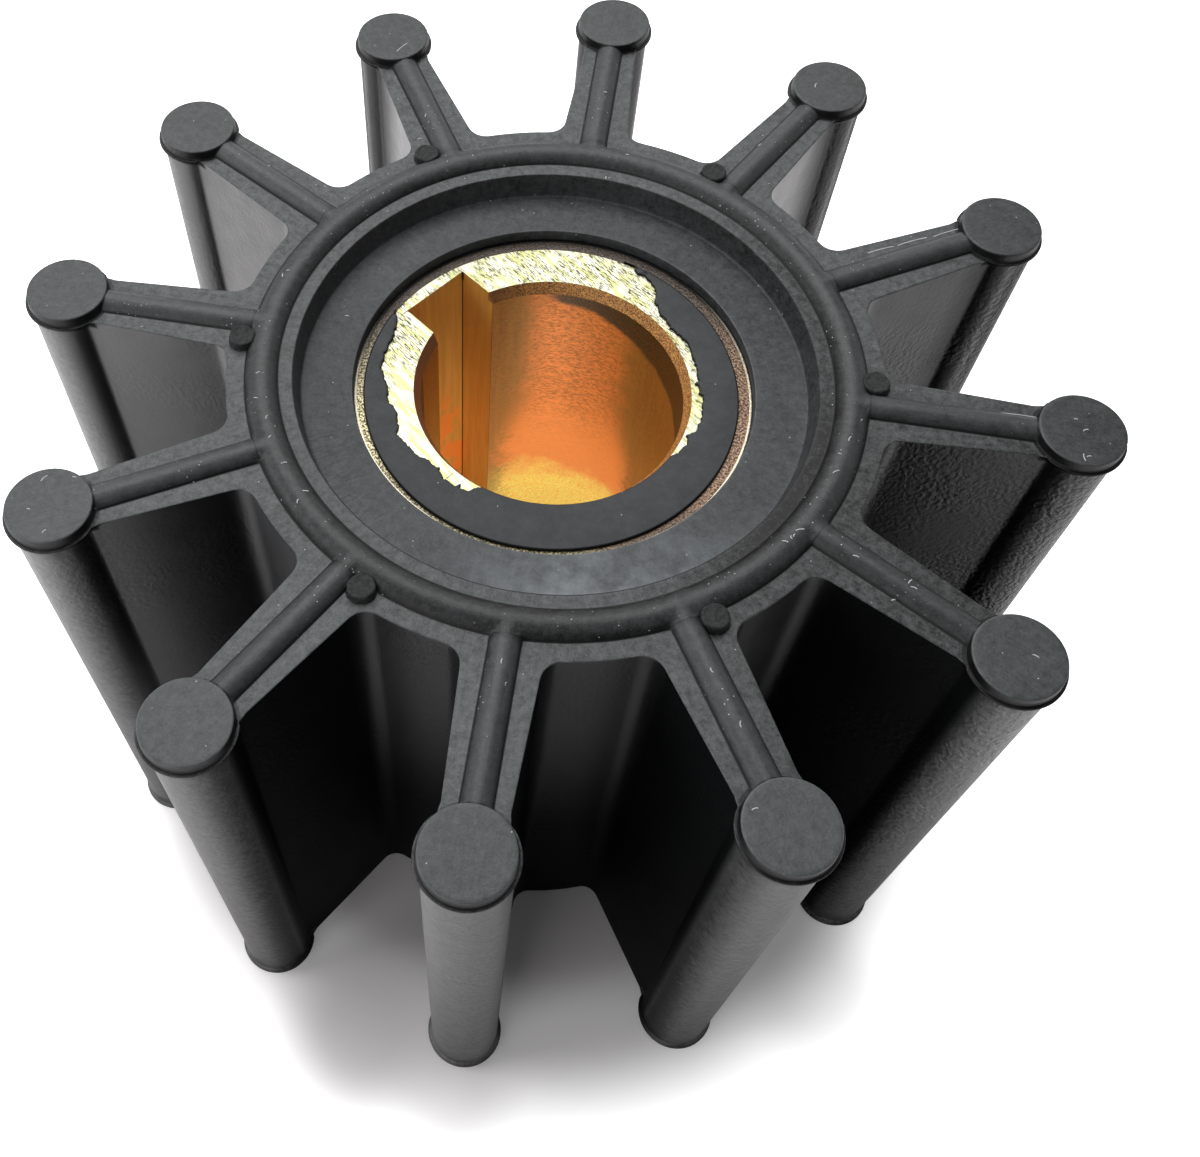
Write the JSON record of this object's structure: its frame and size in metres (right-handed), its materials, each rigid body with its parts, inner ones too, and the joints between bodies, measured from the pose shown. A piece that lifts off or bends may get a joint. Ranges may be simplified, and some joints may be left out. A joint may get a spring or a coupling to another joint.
{
  "type": "rubber pump impeller",
  "caption": "Flexible rubber vane impeller with round bulb tips and raised sealing beads, moulded on a brass bush with a keyway.",
  "frame": {"origin": "on the axis of the bore, in the plane of the lower bulb ends that the part stands on", "axes": "+Z along the bore axis towards the end face with the gate stubs, +X along the middle of one vane"},
  "size_m": [0.0962, 0.0962, 0.0625],
  "materials": {
    "rubber": "matte moulded rubber, dark grey",
    "brass": "machined, bare"
  },
  "bodies": {
    "root": {"rubber_moulding": "rubber", "brass_insert": "brass", "torn_face_film": "rubber"}
  },
  "joints": []
}
